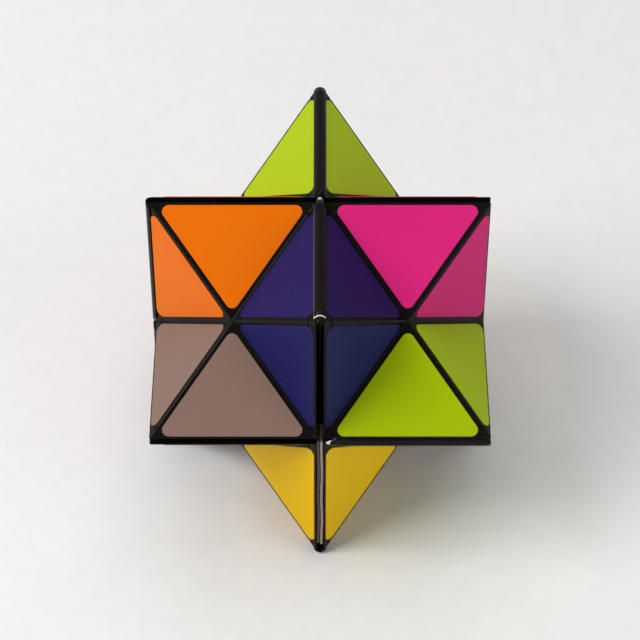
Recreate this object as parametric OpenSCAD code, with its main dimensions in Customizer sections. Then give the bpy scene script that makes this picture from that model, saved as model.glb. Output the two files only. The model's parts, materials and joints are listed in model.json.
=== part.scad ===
// Folding star cube, one half of a two-in-one set.
// Eight equal half-cube pieces hang in one closed ring on eight film hinges.
// Folded shut, the ring is a star: the first stellation of the rhombic dodecahedron.
// Folded out, it is a hollow cube. Drawn in the star position, in millimetres.
// Origin at the centre of the star. X to the right, Y to the back, Z up.

/* [Size] */
// Distance from the centre to each hinge line, half the side of the open cube
pitch = 28.2; // [20:0.1:40]
// Distance from each square face to the plane it meets, half the gap between pieces
face_gap = 0.6; // [0.4:0.05:1]
// How far each triangular face stands out past the plane through the hinge lines
face_rise = 0.22; // [0.1:0.01:0.3]

/* [Shells] */
// Wall of the corner shell with the three square faces
corner_wall = 1.2; // [0.8:0.1:2]
// Wall of the outer shell with the six triangular faces
outer_wall = 1.2; // [0.8:0.1:2]
// Height of the locating lip that stands up inside the outer shell
lip_height = 1.6; // [1:0.1:3]
// Thickness of the locating lip
lip_wall = 1; // [0.6:0.1:1.5]
// Play between the lip and the outer shell
lip_play = 0.15; // [0.05:0.05:0.3]
// Rest between the two shells at the seam
seam = 0.02; // [0:0.01:0.1]

/* [Labels] */
// Thickness of a label
label_thick = 0.2; // [0.1:0.02:0.3]
// Bare border between a label and the long edge of its face
border_base = 0.5; // [0.4:0.05:2]
// Bare border between a label and the two short edges of its face
border_side = 0.7; // [0.4:0.05:2]
// Corner radius of a label
label_corner = 1.1; // [0.5:0.1:3]

/* [Film hinges] */
// Thickness of the hinge film
film_thick = 0.22; // [0.1:0.01:0.24]
// Play between the film and the faces under it
film_play = 0.01; // [0:0.01:0.05]
// Half width of the film's lower side, seen square on to the ridge
film_half = 0.9; // [0.8:0.05:1.5]
// Distance from each end of the ridge to the end of the film
film_end = 0.7; // [0.3:0.1:3]

/* [Hidden] */
LIME = [0.60, 0.68, 0.05];
ORANGE = [0.89, 0.44, 0.03];
MAGENTA = [0.79, 0.16, 0.46];
BLUE = [0.16, 0.14, 0.38];
GREY = [0.54, 0.45, 0.40];
YELLOW = [0.84, 0.67, 0.08];
BLACK = [0.05, 0.045, 0.04];
FILM = [0.09, 0.075, 0.065];
S2 = sqrt(2);
// edge length of one finished piece
side = pitch + face_rise * S2 - 2 * face_gap;
// height of the triangular faces over the plane through the hinge lines, along an axis
lift = -face_rise * S2;

// Half cube with one corner at the origin: three square pyramids that share their top.
module half_cube(s)
  scale(s)
    polyhedron(
      points = [[0,0,0],[1,0,0],[0,1,0],[0,0,1],[1,1,0],[1,0,1],[0,1,1],[0.5,0.5,0.5]],
      faces = [[0,1,4,2],[0,3,5,1],[0,2,6,3],[1,7,4],[2,4,7],[1,5,7],[3,7,5],[2,7,6],[3,6,7]]);

// Half cube between the planes at distance a and the faces lowered by k along an axis.
module cell(a, k) translate([a, a, a]) half_cube(pitch - k - 2 * a);

// Corner shell: three square walls that meet in one corner, with a lip inside their rim.
module corner_shell() {
  k = lift;
  top = face_gap + corner_wall;
  difference() {
    cell(face_gap, k);
    translate([top, top, top]) cube(2 * pitch);
  }
  kl = k + (outer_wall + lip_play) * S2;
  difference() {
    cell(top - 0.2, kl);
    cell(top - 1, kl + lip_wall * S2);
    translate([top, top, top] + [1, 1, 1] * lip_height) cube(2 * pitch);
  }
}

// Outer shell: six triangular walls, open towards the corner shell.
module outer_shell() {
  k = lift;
  low = face_gap + corner_wall + seam;
  difference() {
    cell(low, k);
    cell(low - 1, k + outer_wall * S2);
  }
}

// Puts a flat shape on the face with the long edge at axis p and the lowest axis r.
module on_face(p, q, r)
  translate([face_gap, face_gap, face_gap])
    multmatrix([
      [q[0], (r[0] - p[0]) / S2, (p[0] + r[0]) / S2, side * p[0]],
      [q[1], (r[1] - p[1]) / S2, (p[1] + r[1]) / S2, side * p[1]],
      [q[2], (r[2] - p[2]) / S2, (p[2] + r[2]) / S2, side * p[2]],
      [0, 0, 0, 1]])
      children();

// Outline of a label: the face's triangle, drawn in and with round corners.
BASE = acos(1 / sqrt(3));
function label_scale() = let(
  rise = side / S2,
  inset_top = border_side / cos(BASE))
  [side - 2 * (border_base / tan(BASE) + border_side / sin(BASE)), rise - border_base - inset_top];
function arc(c, r, a0, a1, n) = [
  for (i = [0:n])
    let(a = a0 + (a1 - a0) * i / n) [c[0] + r * cos(a), c[1] + r * sin(a)]];
module label_outline() {
  r = label_corner;
  w = label_scale()[0];
  x0 = side / 2 - w / 2;
  t = r / tan(BASE / 2);
  y1 = border_base + (w / 2) * tan(BASE) - r / cos(BASE);
  polygon(concat(
    arc([x0 + t, border_base + r], r, 270, 180 - (90 - BASE), 8),
    arc([side / 2, y1], r, 90 + BASE, 90 - BASE, 10),
    arc([x0 + w - t, border_base + r], r, 90 - BASE, -90, 8)));
}

// The two labels on both sides of one point's ridge. n is the axis the point is cut across.
module label_pair(n) {
  a = n == 0 ? [0, 1, 0] : [1, 0, 0];
  b = n == 2 ? [0, 1, 0] : [0, 0, 1];
  c = n == 0 ? [1, 0, 0] : n == 1 ? [0, 1, 0] : [0, 0, 1];
  on_face(a, b, c) linear_extrude(label_thick) label_outline();
  on_face(b, a, c) linear_extrude(label_thick) label_outline();
}

// One hinge film, folded over the ridge from (0,0,pitch) to (0,pitch,pitch).
// Its crown is a part of a tube whose axis is the hinge line.
module film() {
  ri = face_rise + film_play;
  ro = ri + film_thick;
  flap = film_half * S2 - ri;
  intersection() {
    translate([0, 0, pitch]) union() {
      intersection() {
        rotate([-90, 0, 0]) difference() {
          cylinder(h = pitch, r = ro, $fn = 48);
          translate([0, 0, -1]) cylinder(h = pitch + 2, r = ri, $fn = 48);
        }
        translate([0, pitch, 0]) rotate([90, 0, 0]) linear_extrude(pitch)
          polygon([[0, 0], [1, 1], [-1, 1]]);
      }
      for (s = [-1, 1])
        rotate([0, s * 45, 0])
          translate([s > 0 ? 0 : -flap, 0, ri]) cube([flap, pitch, film_thick]);
    }
    linear_extrude(2 * pitch)
      polygon([[0, film_end], [2, film_end + 2], [2, pitch - film_end - 2],
        [0, pitch - film_end], [-2, pitch - film_end - 2], [-2, film_end + 2]]);
  }
}
module film_at(m)
  multmatrix([
    [m[0][0], m[0][1], m[0][2], 0],
    [m[1][0], m[1][1], m[1][2], 0],
    [m[2][0], m[2][1], m[2][2], 0],
    [0, 0, 0, 1]])
    film();

module place_ufr() rotate([0, 0, 270]) children();
module place_lfr() rotate([0, 0, 0]) rotate([180, 0, 0]) children();
module place_lbr() rotate([0, 0, 90]) rotate([180, 0, 0]) children();
module place_ubr() rotate([0, 0, 0]) children();
module place_ubl() rotate([0, 0, 90]) children();
module place_lbl() rotate([0, 0, 180]) rotate([180, 0, 0]) children();
module place_lfl() rotate([0, 0, 270]) rotate([180, 0, 0]) children();
module place_ufl() rotate([0, 0, 180]) children();

// Corner shell of the upper front right piece.
module corner_ufr() color(BLACK) place_ufr() corner_shell();
// Corner shell of the lower front right piece.
module corner_lfr() color(BLACK) place_lfr() corner_shell();
// Corner shell of the lower back right piece.
module corner_lbr() color(BLACK) place_lbr() corner_shell();
// Corner shell of the upper back right piece.
module corner_ubr() color(BLACK) place_ubr() corner_shell();
// Corner shell of the upper back left piece.
module corner_ubl() color(BLACK) place_ubl() corner_shell();
// Corner shell of the lower back left piece.
module corner_lbl() color(BLACK) place_lbl() corner_shell();
// Corner shell of the lower front left piece.
module corner_lfl() color(BLACK) place_lfl() corner_shell();
// Corner shell of the upper front left piece.
module corner_ufl() color(BLACK) place_ufl() corner_shell();
// Outer shell of the upper front right piece.
module outer_ufr() color(BLACK) place_ufr() outer_shell();
// Outer shell of the lower front right piece.
module outer_lfr() color(BLACK) place_lfr() outer_shell();
// Outer shell of the lower back right piece.
module outer_lbr() color(BLACK) place_lbr() outer_shell();
// Outer shell of the upper back right piece.
module outer_ubr() color(BLACK) place_ubr() outer_shell();
// Outer shell of the upper back left piece.
module outer_ubl() color(BLACK) place_ubl() outer_shell();
// Outer shell of the lower back left piece.
module outer_lbl() color(BLACK) place_lbl() outer_shell();
// Outer shell of the lower front left piece.
module outer_lfl() color(BLACK) place_lfl() outer_shell();
// Outer shell of the upper front left piece.
module outer_ufl() color(BLACK) place_ufl() outer_shell();
// Two labels of the upper front right piece, on the point cut across X.
module label_ufr_x()
  color(BLUE) place_ufr() label_pair(1);
// Two labels of the upper front right piece, on the point cut across Y.
module label_ufr_y()
  color(MAGENTA) place_ufr() label_pair(0);
// Two labels of the upper front right piece, on the point cut across Z.
module label_ufr_z()
  color(LIME) place_ufr() label_pair(2);
// Two labels of the lower front right piece, on the point cut across X.
module label_lfr_x()
  color(YELLOW) place_lfr() label_pair(0);
// Two labels of the lower front right piece, on the point cut across Y.
module label_lfr_y()
  color(GREY) place_lfr() label_pair(1);
// Two labels of the lower front right piece, on the point cut across Z.
module label_lfr_z()
  color(LIME) place_lfr() label_pair(2);
// Two labels of the lower back right piece, on the point cut across X.
module label_lbr_x()
  color(ORANGE) place_lbr() label_pair(1);
// Two labels of the lower back right piece, on the point cut across Y.
module label_lbr_y()
  color(GREY) place_lbr() label_pair(0);
// Two labels of the lower back right piece, on the point cut across Z.
module label_lbr_z()
  color(YELLOW) place_lbr() label_pair(2);
// Two labels of the upper back right piece, on the point cut across X.
module label_ubr_x()
  color(LIME) place_ubr() label_pair(0);
// Two labels of the upper back right piece, on the point cut across Y.
module label_ubr_y()
  color(MAGENTA) place_ubr() label_pair(1);
// Two labels of the upper back right piece, on the point cut across Z.
module label_ubr_z()
  color(YELLOW) place_ubr() label_pair(2);
// Two labels of the upper back left piece, on the point cut across X.
module label_ubl_x()
  color(LIME) place_ubl() label_pair(1);
// Two labels of the upper back left piece, on the point cut across Y.
module label_ubl_y()
  color(ORANGE) place_ubl() label_pair(0);
// Two labels of the upper back left piece, on the point cut across Z.
module label_ubl_z()
  color(MAGENTA) place_ubl() label_pair(2);
// Two labels of the lower back left piece, on the point cut across X.
module label_lbl_x()
  color(ORANGE) place_lbl() label_pair(0);
// Two labels of the lower back left piece, on the point cut across Y.
module label_lbl_y()
  color(BLUE) place_lbl() label_pair(1);
// Two labels of the lower back left piece, on the point cut across Z.
module label_lbl_z()
  color(MAGENTA) place_lbl() label_pair(2);
// Two labels of the lower front left piece, on the point cut across X.
module label_lfl_x()
  color(YELLOW) place_lfl() label_pair(1);
// Two labels of the lower front left piece, on the point cut across Y.
module label_lfl_y()
  color(BLUE) place_lfl() label_pair(0);
// Two labels of the lower front left piece, on the point cut across Z.
module label_lfl_z()
  color(GREY) place_lfl() label_pair(2);
// Two labels of the upper front left piece, on the point cut across X.
module label_ufl_x()
  color(BLUE) place_ufl() label_pair(0);
// Two labels of the upper front left piece, on the point cut across Y.
module label_ufl_y()
  color(ORANGE) place_ufl() label_pair(1);
// Two labels of the upper front left piece, on the point cut across Z.
module label_ufl_z()
  color(GREY) place_ufl() label_pair(2);
// Hinge film on the top front ridge.
module film_top_front() color(FILM) film_at([[-1,0,0],[0,-1,0],[0,0,1]]);
// Hinge film on the top back ridge.
module film_top_back() color(FILM) film_at([[1,0,0],[0,1,0],[0,0,1]]);
// Hinge film on the bottom front ridge.
module film_bottom_front() color(FILM) film_at([[1,0,0],[0,-1,0],[0,0,-1]]);
// Hinge film on the bottom back ridge.
module film_bottom_back() color(FILM) film_at([[-1,0,0],[0,1,0],[0,0,-1]]);
// Hinge film on the left upper edge.
module film_left_upper() color(FILM) film_at([[0,0,-1],[-1,0,0],[0,1,0]]);
// Hinge film on the left lower edge.
module film_left_lower() color(FILM) film_at([[0,0,-1],[1,0,0],[0,-1,0]]);
// Hinge film on the front right ridge.
module film_front_right() color(FILM) film_at([[0,1,0],[0,0,-1],[-1,0,0]]);
// Hinge film on the back right ridge.
module film_back_right() color(FILM) film_at([[0,1,0],[0,0,1],[1,0,0]]);

corner_ufr();
corner_lfr();
corner_lbr();
corner_ubr();
corner_ubl();
corner_lbl();
corner_lfl();
corner_ufl();
outer_ufr();
outer_lfr();
outer_lbr();
outer_ubr();
outer_ubl();
outer_lbl();
outer_lfl();
outer_ufl();
label_ufr_x();
label_ufr_y();
label_ufr_z();
label_lfr_x();
label_lfr_y();
label_lfr_z();
label_lbr_x();
label_lbr_y();
label_lbr_z();
label_ubr_x();
label_ubr_y();
label_ubr_z();
label_ubl_x();
label_ubl_y();
label_ubl_z();
label_lbl_x();
label_lbl_y();
label_lbl_z();
label_lfl_x();
label_lfl_y();
label_lfl_z();
label_ufl_x();
label_ufl_y();
label_ufl_z();
film_top_front();
film_top_back();
film_bottom_front();
film_bottom_back();
film_left_upper();
film_left_lower();
film_front_right();
film_back_right();
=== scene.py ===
import json
import math

import bmesh
import bpy
from mathutils import Matrix, Vector


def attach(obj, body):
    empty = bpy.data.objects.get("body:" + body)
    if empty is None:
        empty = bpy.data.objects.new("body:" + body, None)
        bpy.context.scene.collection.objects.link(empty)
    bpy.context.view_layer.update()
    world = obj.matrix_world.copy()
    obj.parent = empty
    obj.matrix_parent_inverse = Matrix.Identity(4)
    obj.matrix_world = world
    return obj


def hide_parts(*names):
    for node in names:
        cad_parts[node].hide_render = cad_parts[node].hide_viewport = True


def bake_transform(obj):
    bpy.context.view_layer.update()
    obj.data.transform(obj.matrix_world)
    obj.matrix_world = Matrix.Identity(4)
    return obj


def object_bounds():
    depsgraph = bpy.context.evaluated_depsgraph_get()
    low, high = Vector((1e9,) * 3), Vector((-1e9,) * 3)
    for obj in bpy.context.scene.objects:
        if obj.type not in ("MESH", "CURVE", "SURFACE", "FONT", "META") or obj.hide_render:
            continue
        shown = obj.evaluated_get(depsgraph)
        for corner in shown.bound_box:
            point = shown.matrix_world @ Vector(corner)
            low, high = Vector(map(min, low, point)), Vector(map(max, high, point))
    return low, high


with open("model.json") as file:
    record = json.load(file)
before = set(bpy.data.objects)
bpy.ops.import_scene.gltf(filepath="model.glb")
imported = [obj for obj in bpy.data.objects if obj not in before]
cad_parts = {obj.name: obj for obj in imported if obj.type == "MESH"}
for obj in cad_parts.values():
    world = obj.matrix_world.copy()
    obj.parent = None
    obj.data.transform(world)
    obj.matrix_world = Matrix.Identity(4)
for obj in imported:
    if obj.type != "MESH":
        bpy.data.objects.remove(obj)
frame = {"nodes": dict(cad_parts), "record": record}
CAD_BOX = [list(map(float, v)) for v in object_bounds()]

MM = 0.001
P = 28.2          # distance from the centre to each hinge line, in mm
FACE_RISE = 0.22  # how far the triangular faces stand out past the plane through the hinge lines
LABEL_SUNK = 0.08  # how far each label is let into its face
S2 = math.sqrt(2)

PIECES = {
    "ufr": ("upper_front_right", (1, -1, 1)),
    "lfr": ("lower_front_right", (1, -1, -1)),
    "lbr": ("lower_back_right", (1, 1, -1)),
    "ubr": ("upper_back_right", (1, 1, 1)),
    "ubl": ("upper_back_left", (-1, 1, 1)),
    "lbl": ("lower_back_left", (-1, 1, -1)),
    "lfl": ("lower_front_left", (-1, -1, -1)),
    "ufl": ("upper_front_left", (-1, -1, 1)),
}


# ---------------------------------------------------------------- materials

class Nodes:
    """A small helper that builds one procedural material."""

    def __init__(self, name):
        self.m = bpy.data.materials.new(name)
        self.m.use_nodes = True
        self.t = self.m.node_tree
        self.bsdf = self.t.nodes["Principled BSDF"]
        self.coord = self.t.nodes.new("ShaderNodeTexCoord")

    def new(self, kind, **props):
        n = self.t.nodes.new(kind)
        for k, v in props.items():
            setattr(n, k, v)
        return n

    def link(self, a, b):
        self.t.links.new(a, b)

    def noise(self, scale, detail, rough, stretch=None):
        """Noise in object space. stretch is three scales, then three turns in radians."""
        n = self.new("ShaderNodeTexNoise")
        n.inputs["Scale"].default_value = scale
        n.inputs["Detail"].default_value = detail
        n.inputs["Roughness"].default_value = rough
        if stretch:
            mp = self.new("ShaderNodeMapping")
            mp.inputs["Scale"].default_value = stretch[:3]
            mp.inputs["Rotation"].default_value = stretch[3:]
            self.link(self.coord.outputs["Object"], mp.inputs["Vector"])
            self.link(mp.outputs["Vector"], n.inputs["Vector"])
        else:
            self.link(self.coord.outputs["Object"], n.inputs["Vector"])
        return n.outputs["Fac"]

    def ramp(self, value, a, b, lo, hi):
        n = self.new("ShaderNodeMapRange")
        n.inputs["From Min"].default_value = a
        n.inputs["From Max"].default_value = b
        n.inputs["To Min"].default_value = lo
        n.inputs["To Max"].default_value = hi
        self.link(value, n.inputs["Value"])
        return n.outputs["Result"]

    def math(self, op, a, b):
        n = self.new("ShaderNodeMath", operation=op)
        for i, v in enumerate((a, b)):
            if isinstance(v, (int, float)):
                n.inputs[i].default_value = v
            else:
                self.link(v, n.inputs[i])
        return n.outputs[0]

    def mix(self, fac, a, b):
        n = self.new("ShaderNodeMix", data_type="RGBA")
        self.link(fac, n.inputs["Factor"])
        for key, v in (("A", a), ("B", b)):
            s = [i for i in n.inputs if i.name == key and i.type == "RGBA"][0]
            if isinstance(v, tuple):
                s.default_value = (*v, 1)
            else:
                self.link(v, s)
        return [o for o in n.outputs if o.type == "RGBA"][0]

    def bump(self, height, strength, distance):
        n = self.new("ShaderNodeBump")
        n.inputs["Strength"].default_value = strength
        n.inputs["Distance"].default_value = distance
        self.link(height, n.inputs["Height"])
        self.link(n.outputs["Normal"], self.bsdf.inputs["Normal"])


def shade(c, k):
    return tuple(min(1.0, v * k) for v in c)


def shell_material():
    n = Nodes("black_plastic")
    base = (0.0052, 0.0044, 0.0038)
    cloud = n.noise(90, 3, 0.5)
    scuff = n.noise(420, 6, 0.7, (1, 1, 0.12, 0.4, 0.2, 0.6))
    dust = n.ramp(n.noise(2600, 2, 0.6), 0.66, 0.78, 0, 1)
    col = n.mix(n.ramp(cloud, 0.3, 0.7, 0, 1), base, shade(base, 1.55))
    col = n.mix(n.math("MULTIPLY", dust, 0.10), col, (0.05, 0.045, 0.04))
    n.link(col, n.bsdf.inputs["Base Color"])
    rough = n.math("ADD", n.ramp(scuff, 0.35, 0.75, 0.20, 0.32), n.math("MULTIPLY", dust, 0.10))
    n.link(rough, n.bsdf.inputs["Roughness"])
    n.bsdf.inputs["IOR"].default_value = 1.5
    n.bsdf.inputs["Specular IOR Level"].default_value = 0.08
    grain = n.math("ADD", n.noise(900, 3, 0.5), n.math("MULTIPLY", scuff, 0.4))
    n.bump(grain, 0.05, 0.00004)
    return n.m


def label_material(name, c, c2):
    """Printed film: an even colour that drifts a little, a fine orange-peel surface and faint rubs."""
    n = Nodes("label_" + name)
    drift = n.noise(38, 2, 0.4)
    fine = n.noise(1900, 4, 0.6)
    rub = n.ramp(n.noise(520, 5, 0.65, (1, 0.10, 1, 0.7, 0.5, 0.3)), 0.60, 0.74, 0, 1)
    speck = n.ramp(n.noise(2300, 1, 0.5), 0.72, 0.80, 0, 1)
    col = n.mix(n.ramp(drift, 0.3, 0.7, 0, 1), c, c2)
    col = n.mix(n.math("MULTIPLY", n.ramp(fine, 0.3, 0.7, 0, 1), 0.10), col, shade(c, 0.72))
    col = n.mix(n.math("MULTIPLY", rub, 0.10), col, tuple(0.75 * v + 0.10 for v in c))
    col = n.mix(n.math("MULTIPLY", speck, 0.10), col, (0.6, 0.57, 0.52))
    n.link(col, n.bsdf.inputs["Base Color"])
    n.link(n.math("ADD", n.ramp(fine, 0.3, 0.7, 0.34, 0.44), n.math("MULTIPLY", rub, 0.08)),
           n.bsdf.inputs["Roughness"])
    n.bsdf.inputs["IOR"].default_value = 1.46
    n.bsdf.inputs["Specular IOR Level"].default_value = 0.10
    h = n.math("ADD", n.math("MULTIPLY", n.noise(160, 2, 0.5), 1.6), n.math("MULTIPLY", fine, 0.25))
    n.bump(h, 0.12, 0.00012)
    return n.m


def film_material():
    n = Nodes("hinge_film")
    streak = n.noise(260, 3, 0.5)
    col = n.mix(n.ramp(streak, 0.3, 0.7, 0, 1), (0.0055, 0.0045, 0.0045), (0.0085, 0.0068, 0.0062))
    n.link(col, n.bsdf.inputs["Base Color"])
    n.link(n.ramp(n.noise(500, 3, 0.6), 0.3, 0.7, 0.14, 0.22), n.bsdf.inputs["Roughness"])
    n.bsdf.inputs["IOR"].default_value = 1.5
    n.bsdf.inputs["Specular IOR Level"].default_value = 0.10
    n.bump(n.noise(110, 2, 0.5), 0.08, 0.0001)
    return n.m


def core_material():
    n = Nodes("film_core")
    grain = n.noise(1400, 3, 0.6)
    col = n.mix(n.ramp(grain, 0.3, 0.7, 0, 1), (0.80, 0.77, 0.73), (0.66, 0.62, 0.57))
    n.link(col, n.bsdf.inputs["Base Color"])
    n.link(n.ramp(grain, 0.3, 0.7, 0.45, 0.6), n.bsdf.inputs["Roughness"])
    n.bump(grain, 0.2, 0.00005)
    return n.m


def lining_material(name, pale, dark):
    """The bare inner layer of the hinge film, also built as a darker copy that is painted shade."""
    n = Nodes(name)
    grain = n.noise(1100, 3, 0.6)
    col = n.mix(n.ramp(grain, 0.3, 0.7, 0, 1), pale, dark)
    n.link(col, n.bsdf.inputs["Base Color"])
    n.link(n.ramp(grain, 0.3, 0.7, 0.40, 0.55), n.bsdf.inputs["Roughness"])
    n.bump(grain, 0.15, 0.00005)
    return n.m


# Each label colour and the one that it drifts to, in linear light.
COLOURS = {
    "lime": ((0.420, 0.550, 0.002), (0.390, 0.520, 0.001)),
    "orange": ((0.860, 0.170, 0.001), (0.820, 0.155, 0.001)),
    "magenta": ((0.740, 0.020, 0.212), (0.690, 0.018, 0.188)),
    "blue": ((0.012, 0.012, 0.104), (0.009, 0.012, 0.086)),
    "grey": ((0.252, 0.160, 0.126), (0.236, 0.150, 0.119)),
    "yellow": ((0.860, 0.530, 0.002), (0.810, 0.490, 0.001)),
}
SHELL = shell_material()
LABEL = {k: label_material(k, *v) for k, v in COLOURS.items()}
FILM = film_material()
CORE = core_material()
LINING = lining_material("film_lining", (0.62, 0.47, 0.41), (0.48, 0.36, 0.31))
# A darker copy of the lining: painted shade on the left side of the open ridge.
SHADED_LINING = lining_material("film_glue", (0.230, 0.120, 0.092), (0.160, 0.082, 0.062))


# ---------------------------------------------------------------- shells and labels

SHELL_EDGE = 0.22       # width of the rounding on the black shells' edges
LABEL_EDGE = 0.10       # the same on the labels
EDGE_SEGMENTS = 3
WELD_GAP = 2e-6         # in metres: points of a node's mesh nearer than this are one point
FLAT_ANGLE = math.radians(0.5)      # triangles that meet at less than this are one flat face
SHARP_ANGLE = math.radians(20)      # edges sharper than this are rounded


def sink(bm, depth):
    """Lowers each separate plate in bm by depth, square to its face."""
    bm.faces.ensure_lookup_table()
    moved = set()
    for face in sorted(bm.faces, key=lambda f: -f.calc_area()):
        if face.verts[0] in moved or face.normal.dot(face.calc_center_median()) < 0:
            continue
        plate, queue = set(), [face.verts[0]]
        while queue:
            v = queue.pop()
            if v not in plate:
                plate.add(v)
                queue += [e.other_vert(v) for e in v.link_edges]
        shift = face.normal * -depth * MM
        for v in plate:
            v.co += shift
        moved |= plate


def finished_copy(node, name, width, material, depth=0.0):
    """The node's shape with its flat faces joined up, its plates let in and its sharp edges rounded."""
    src = frame["nodes"][node]
    bm = bmesh.new()
    bm.from_mesh(src.data)
    bmesh.ops.remove_doubles(bm, verts=bm.verts, dist=WELD_GAP)
    bmesh.ops.dissolve_limit(bm, angle_limit=FLAT_ANGLE, verts=bm.verts, edges=bm.edges)
    if depth:
        sink(bm, depth)
    me = bpy.data.meshes.new(name)
    bm.to_mesh(me)
    bm.free()
    ob = bpy.data.objects.new(name, me)
    bpy.context.collection.objects.link(ob)
    ob.data.materials.append(material)
    mod = ob.modifiers.new("edges", "BEVEL")
    mod.width = width * MM
    mod.segments = EDGE_SEGMENTS
    mod.limit_method = "ANGLE"
    mod.angle_limit = SHARP_ANGLE
    mod.harden_normals = True
    mod.use_clamp_overlap = True
    dg = bpy.context.evaluated_depsgraph_get()
    final = bpy.data.meshes.new_from_object(ob.evaluated_get(dg))
    ob.modifiers.clear()
    ob.data = final
    return ob


slots = {s["node"]: s["material_slot"] for s in frame["record"]["subparts"]}
for key, (body, signs) in PIECES.items():
    for kind in ("corner", "outer"):
        node = f"{kind}_{key}"
        ob = finished_copy(node, f"{kind}_shell_{key}", SHELL_EDGE, SHELL)
        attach(ob, body)
        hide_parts(node)
    for axis in "xyz":
        node = f"label_{key}_{axis}"
        colour = slots[node].replace("label_", "")
        ob = finished_copy(node, f"stickers_{key}_{axis}", LABEL_EDGE, LABEL[colour], LABEL_SUNK)
        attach(ob, body)
        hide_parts(node)


# ---------------------------------------------------------------- hinge films

# Each film lies over a ridge: the line from (0, 0, P) to (0, P, P), turned into place by three columns.
FILMS = {
    "film_top_front": ((-1, 0, 0), (0, -1, 0), (0, 0, 1), "upper_front_left", "upper_front_right"),
    "film_top_back": ((1, 0, 0), (0, 1, 0), (0, 0, 1), "upper_back_right", "upper_back_left"),
    "film_bottom_front": ((1, 0, 0), (0, -1, 0), (0, 0, -1), "lower_front_right", "lower_front_left"),
    "film_bottom_back": ((-1, 0, 0), (0, 1, 0), (0, 0, -1), "lower_back_left", "lower_back_right"),
    "film_left_upper": ((0, -1, 0), (0, 0, 1), (-1, 0, 0), "upper_front_left", "upper_back_left"),
    "film_left_lower": ((0, 1, 0), (0, 0, -1), (-1, 0, 0), "lower_back_left", "lower_front_left"),
    "film_front_right": ((0, 0, -1), (1, 0, 0), (0, -1, 0), "lower_front_right", "upper_front_right"),
    "film_back_right": ((0, 0, 1), (1, 0, 0), (0, 1, 0), "upper_back_right", "lower_back_right"),
}

FILM_PLAY = 0.01        # between the faces and the film
FILM_THICK = 0.22
CORE_THICK = 0.12       # pale inner layer of the film; the rest is the black cover
CROWN_RADIUS = 1.0      # of the cover's round top
FLAP_END = 1.04         # where each flap ends, along the face from the hinge line
FRONT_END = 1.4         # from the tip of the front point to the end of the film on its top
OUTER_END = 0.6         # from the tip of any other point to the end of its film
INNER_END = 0.5         # from the middle of the star's side to the end of the film
RIGHT_INNER_END = 1.6   # the same on the front right film
INNER_SLANT = 0.3       # the inner end is straight this far each side of the fold, then slants
OUTER_SLANT = 0.2       # sets where the outer end starts to slant
CORE_BACK_INNER = 0.3   # how far the core stays back from the cover's inner end
CORE_BACK_OUTER = 0.1   # and from its outer end
TAIL_HALF = 0.595       # half width of the film's narrow inner layer, which runs from the middle to the tip
TAIL_THICK = 0.06       # up to the core
TAIL_CLEAR = 0.01       # left free between the narrow layer and the core
TAIL_START = 0.005      # from the middle of the star's side to the start of the narrow layer
RIGHT_TAIL_START = 0.75     # the same on the front right film, clear of the bare film legs
TAIL_PAST = 0.1         # how far it runs past the tip on the films in LONG_TAILS
TAIL_SHORT = 0.4        # how far it stops before the tip on the others
TAIL_SLANT = 0.45       # its outer end is straight this far each side of the fold, then slants
LONG_TAILS = ("film_top_front", "film_bottom_back")
# The films whose left piece is named first; like the others they are baked in place and don't fold.
LEFT_FIRST = ("film_top_front", "film_bottom_front", "film_left_lower")
CORE_PROUD = 0.26       # how far the core sticks out of the cover at its outer end
CORE_EDGE_HIGHLIGHT = 0.13      # how far the core shows along one side of the cover, the lit left side only: a real core edge, shown there alone as a painted highlight
NUB_HALF = 0.36         # half width of the core's round tongue at its inner end
NUB_LENGTH = 0.62       # how far the tongue reaches past the cover's end
# The films whose core shows, and how far its tongue sits to one side of the fold.
CORE_SHOWS = {"film_top_front": 0.0, "film_front_right": -0.22}
CROWN_STEPS = 16
FLAP_STEPS = 3
LENGTH_STEPS = 28
BASE = FACE_RISE + FILM_PLAY


def fold_profile(h, right_end, left_end):
    """Points across the fold, at height h over the two planes that meet in the hinge line.

    They run down one flat flap, over the round crown and down the other flap.
    """
    top = P + h * S2
    radius = CROWN_RADIUS - (BASE + FILM_THICK - h)
    centre = P + (BASE + FILM_THICK - CROWN_RADIUS) * S2
    tangent = radius / S2
    flaps = []
    for flap_end in (right_end, left_end):
        end = (flap_end + h) / S2
        flaps.append([end + (tangent - end) * i / FLAP_STEPS for i in range(FLAP_STEPS)])
    arc = [math.radians(45 + 90 * i / CROWN_STEPS) for i in range(CROWN_STEPS + 1)]
    pts = [(x, top - x) for x in flaps[0]]
    pts += [(radius * math.cos(t), centre + radius * math.sin(t)) for t in arc]
    pts += [(-x, top - x) for x in reversed(flaps[1])]
    return pts


def cover_ends(x, node):
    """Where the cover starts and stops: both ends keep clear of the slanted edges of the face."""
    inner = RIGHT_INNER_END if node == "film_front_right" else INNER_END
    outer = FRONT_END if node == "film_top_front" else OUTER_END
    return inner + max(0, abs(x) - INNER_SLANT), P - max(outer, abs(x) - OUTER_SLANT)


def core_ends(x, node):
    """Where the film's ends are worn, the core shows as a thin edge outside and a round tongue inside."""
    inner, outer = cover_ends(x, node)
    inner += CORE_BACK_INNER
    if node in CORE_SHOWS:
        across = (x - CORE_SHOWS[node]) / NUB_HALF
        if abs(across) < 1:
            inner -= CORE_BACK_INNER + NUB_LENGTH * math.sqrt(1 - across ** 2)
    return inner, outer + (CORE_PROUD if node == "film_top_front" else -CORE_BACK_OUTER)


def tail_ends(x, node):
    """The narrow inner layer fills the open line between two pieces from end to end."""
    past = TAIL_PAST if node in LONG_TAILS else -TAIL_SHORT
    start = RIGHT_TAIL_START if node == "film_front_right" else TAIL_START
    return start, P + past - max(0, abs(x) - TAIL_SLANT)


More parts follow.
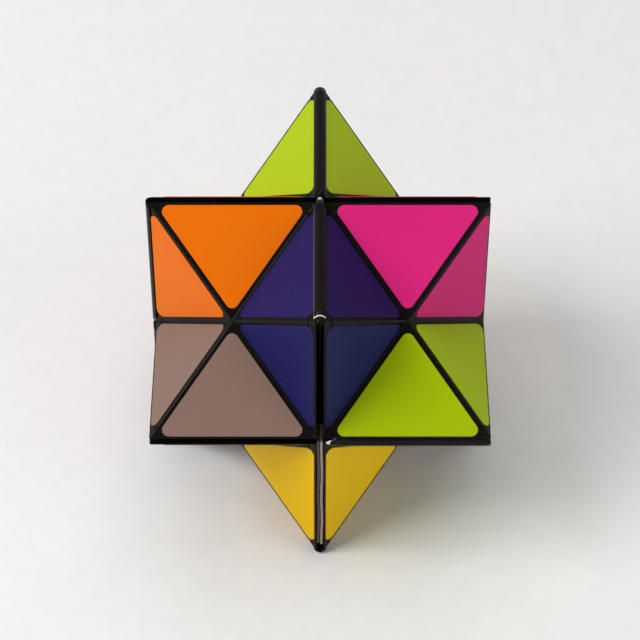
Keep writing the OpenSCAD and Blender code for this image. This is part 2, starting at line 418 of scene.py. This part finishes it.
def strip(name, outer, inner, ends, node, matrix, mats, part=slice(None)):
    """A thin folded sheet between two profiles. ends gives where it starts and stops at each x.

    mats are the materials of its outside, its inside and its cut edges.
    """
    bm = bmesh.new()
    outer, inner = outer[part], inner[part]
    grid = []
    for prof in (outer, inner):
        rows = []
        for x, z in prof:
            y0, y1 = ends(x, node)
            rows.append([bm.verts.new(matrix @ (Vector((x, y0 + (y1 - y0) * j / LENGTH_STEPS, z)) * MM))
                         for j in range(LENGTH_STEPS + 1)])
        grid.append(rows)
    n = len(outer)

    def face(vs, mat):
        f = bm.faces.new(vs)
        f.material_index = mat
        f.smooth = True

    for i in range(n - 1):
        for j in range(LENGTH_STEPS):
            face((grid[0][i][j], grid[0][i + 1][j], grid[0][i + 1][j + 1], grid[0][i][j + 1]), 0)
            face((grid[1][i][j], grid[1][i][j + 1], grid[1][i + 1][j + 1], grid[1][i + 1][j]), 1)
        for j in (0, LENGTH_STEPS):
            face((grid[0][i][j], grid[1][i][j], grid[1][i + 1][j], grid[0][i + 1][j]), 2)
    for i in (0, n - 1):
        for j in range(LENGTH_STEPS):
            face((grid[0][i][j], grid[0][i][j + 1], grid[1][i][j + 1], grid[1][i][j]), 2)
    bmesh.ops.recalc_face_normals(bm, faces=bm.faces)
    me = bpy.data.meshes.new(name)
    bm.to_mesh(me)
    bm.free()
    for m in mats:
        me.materials.append(m)
    ob = bpy.data.objects.new(name, me)
    bpy.context.collection.objects.link(ob)
    return ob


def tail_profile(h):
    """The part of the fold at height h that fits in the gap between two pieces."""
    flap_end = TAIL_HALF * S2 - h
    return fold_profile(h, flap_end, flap_end)


tail_out = tail_profile(BASE + TAIL_THICK - TAIL_CLEAR)
tail_in = tail_profile(BASE)

for node, (cx, cy, cz, right, left) in FILMS.items():
    m = Matrix((cx, cy, cz)).transposed()
    # The core's cut edge shows only on the lit left side: a painted highlight.
    offset = CORE_EDGE_HIGHLIGHT if node == "film_top_front" else 0
    cover_out = fold_profile(BASE + FILM_THICK, FLAP_END - offset, FLAP_END)
    cover_in = fold_profile(BASE + CORE_THICK, FLAP_END - offset, FLAP_END)
    core_out = fold_profile(BASE + CORE_THICK, FLAP_END, FLAP_END - offset)
    core_in = fold_profile(BASE + TAIL_THICK, FLAP_END, FLAP_END - offset)
    black = (FILM, FILM, FILM)
    core_mats = (CORE, FILM, CORE) if node in CORE_SHOWS else black
    # right is the piece on the film's own +x side, left the piece on its -x side
    tag = node.replace("film_", "")
    parts = [("", slice(None), None)]
    if node == "film_back_right":
        # no joint bends this film, so one flap goes with the right piece and the rest with the left one
        parts = [("", slice(FLAP_STEPS, None), left), ("_flap", slice(0, FLAP_STEPS + 1), right)]
    for suffix, part, body in parts:
        cover = strip(f"hinge_film_{tag}{suffix}", cover_out, cover_in, cover_ends, node, m, black, part)
        core = strip(f"film_core_{tag}{suffix}", core_out, core_in, core_ends, node, m, core_mats, part)
        layers = [cover, core]
        if not suffix:
            layers.append(strip(f"film_tail_{tag}", tail_out, tail_in, tail_ends, node, m, black))
        for ob in layers:
            if body:
                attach(ob, body)
            elif node in LEFT_FIRST:
                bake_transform(ob)
            else:
                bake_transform(ob)
    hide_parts(node)


LEG_FRONT = 1.0         # from the front of the star to the bare edge of the right leg
LEG_BACK = 5.2          # from the front of the star to the back edge of each leg
LEG_BOTTOM = 1.4        # from the bottom of the star to their lower ends
LEG_TOP = 0.9           # from the middle of the star down to their upper ends
LEG_EDGE = 0.09         # width of the rounding on their edges
LEG_CUTS = 40
LEG_WAVE = 0.05         # how far they sway to each side
LEG_WAVE_RATE = 0.55    # radians of sway for each mm of height
BROAD_SIDE = 0.7        # a face is part of a broad side when its normal's x is past this


def film_leg(name, body, x0, x1, setback, material):
    """A leg of the bottom front film, down one square face: black, with a bare edge in the open ridge,
    which on the left leg is painted shade.

    x0 and x1 are its broad sides, and setback is how much further in than LEG_FRONT its bare edge is.
    """
    y0, y1 = LEG_FRONT + setback - P, LEG_BACK - P
    z0, z1 = LEG_BOTTOM - P, -LEG_TOP
    bm = bmesh.new()
    bmesh.ops.create_cube(bm, size=1)
    for v in bm.verts:
        v.co = Vector((x0 + (v.co.x + 0.5) * (x1 - x0), y0 + (v.co.y + 0.5) * (y1 - y0),
                       z0 + (v.co.z + 0.5) * (z1 - z0))) * MM
    bmesh.ops.bevel(bm, geom=bm.edges[:], offset=LEG_EDGE * MM, segments=EDGE_SEGMENTS,
                    affect="EDGES", profile=0.5)
    long_edges = [e for e in bm.edges if abs(e.verts[0].co.z - e.verts[1].co.z) > P / 2 * MM]
    bmesh.ops.subdivide_edges(bm, edges=long_edges, cuts=LEG_CUTS)
    for v in bm.verts:
        v.co.x += LEG_WAVE * MM * math.sin(v.co.z / MM * LEG_WAVE_RATE)
    for f in bm.faces:
        f.smooth = True
    me = bpy.data.meshes.new(name)
    bm.to_mesh(me)
    bm.free()
    me.materials.append(material)
    me.materials.append(FILM)
    for f in me.polygons:
        if abs(f.normal.x) > BROAD_SIDE:
            f.material_index = 1
    ob = bpy.data.objects.new(name, me)
    bpy.context.collection.objects.link(ob)
    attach(ob, body)


film_leg("film_leg_bottom_front_right", "lower_front_right", 0.03, 0.53, 0, LINING)
# The left leg's bare edge is painted shade, in the darker copy of the lining.
film_leg("film_leg_bottom_front_left", "lower_front_left", -0.53, 0.0, 0.25, SHADED_LINING)


# ---------------------------------------------------------------- stage, light, camera

FLOOR_Z = CAD_BOX[0][2]
SWEEP_X = (-1.4, -0.5, 0.0, 0.5, 1.4)           # in metres, as all of the stage is
FLOOR_Y = (-0.9, -0.5, -0.2, 0.0, 0.2, 0.5)
WALL_RADIUS = 0.35
WALL_STEPS = 12
WALL_TOP = 1.4


def sweep():
    """A pale floor that curves up into a back wall."""
    bm = bmesh.new()
    prof = [(y, 0.0) for y in FLOOR_Y]
    for i in range(1, WALL_STEPS + 1):
        a = math.radians(90 * i / WALL_STEPS)
        prof.append((FLOOR_Y[-1] + WALL_RADIUS * math.sin(a), WALL_RADIUS - WALL_RADIUS * math.cos(a)))
    prof.append((FLOOR_Y[-1] + WALL_RADIUS, WALL_TOP))
    rows = []
    for y, z in prof:
        rows.append([bm.verts.new((x, y, FLOOR_Z + z)) for x in SWEEP_X])
    for i in range(len(rows) - 1):
        for j in range(len(SWEEP_X) - 1):
            f = bm.faces.new((rows[i][j], rows[i][j + 1], rows[i + 1][j + 1], rows[i + 1][j]))
            f.smooth = True
    me = bpy.data.meshes.new("studio_sweep")
    bm.to_mesh(me)
    bm.free()
    ob = bpy.data.objects.new("studio_sweep", me)
    bpy.context.collection.objects.link(ob)
    n = Nodes("pale_paper")
    grain = n.noise(300, 4, 0.6)
    paper = n.mix(n.ramp(grain, 0.3, 0.7, 0, 1), (0.86, 0.86, 0.86), (0.83, 0.83, 0.83))
    n.link(paper, n.bsdf.inputs["Base Color"])
    n.bsdf.inputs["Roughness"].default_value = 0.9
    n.bump(grain, 0.05, 0.0002)
    me.materials.append(n.m)


sweep()


def area(name, loc, target, size, power, colour=(1, 1, 1)):
    """A soft light at loc that points at target. size is its width and height, and power is in watts."""
    d = bpy.data.lights.new(name, "AREA")
    d.shape = "RECTANGLE"
    d.size, d.size_y = size
    d.energy = power
    d.color = colour
    ob = bpy.data.objects.new(name, d)
    ob.location = loc
    ob.rotation_euler = (Vector(target) - Vector(loc)).to_track_quat("-Z", "Y").to_euler()
    bpy.context.collection.objects.link(ob)


area("key", (-0.60, -0.18, 0.62), (0, 0, 0), (0.50, 0.50), 5.9, (1.0, 0.99, 0.97))
area("fill", (0.70, -0.45, 0.45), (0, 0, 0), (0.6, 0.6), 1.7, (0.97, 0.98, 1.0))
area("front", (0.0, -0.80, 0.24), (0, 0, -0.01), (0.6, 0.4), 0.9)
area("top", (0.0, 0.25, 0.9), (0, 0, 0), (0.8, 0.8), 2.9)

world = bpy.data.worlds.new("studio")
world.use_nodes = True
world.node_tree.nodes["Background"].inputs["Color"].default_value = (1.0, 1.0, 1.0, 1)
world.node_tree.nodes["Background"].inputs["Strength"].default_value = 0.13
bpy.context.scene.world = world
bpy.context.scene.view_settings.view_transform = "Standard"

CAMERA_DISTANCE = 0.437     # in metres from the star's centre
CAMERA_HEIGHT = math.radians(45.4)
VIEW_HALF = 0.0545          # in metres: half the width that the picture takes in at the star's centre

cam = bpy.data.cameras.new("camera")
cam.sensor_width = 36
camera = bpy.data.objects.new("camera", cam)
back = Vector((0, -math.cos(CAMERA_HEIGHT), math.sin(CAMERA_HEIGHT)))
camera.location = back * CAMERA_DISTANCE
camera.rotation_mode = "QUATERNION"
camera.rotation_quaternion = (-back).to_track_quat("-Z", "Y")
cam.lens = cam.sensor_width / 2 * CAMERA_DISTANCE / VIEW_HALF
cam.clip_start, cam.clip_end = 0.01, 10
bpy.context.collection.objects.link(camera)
bpy.context.scene.camera = camera
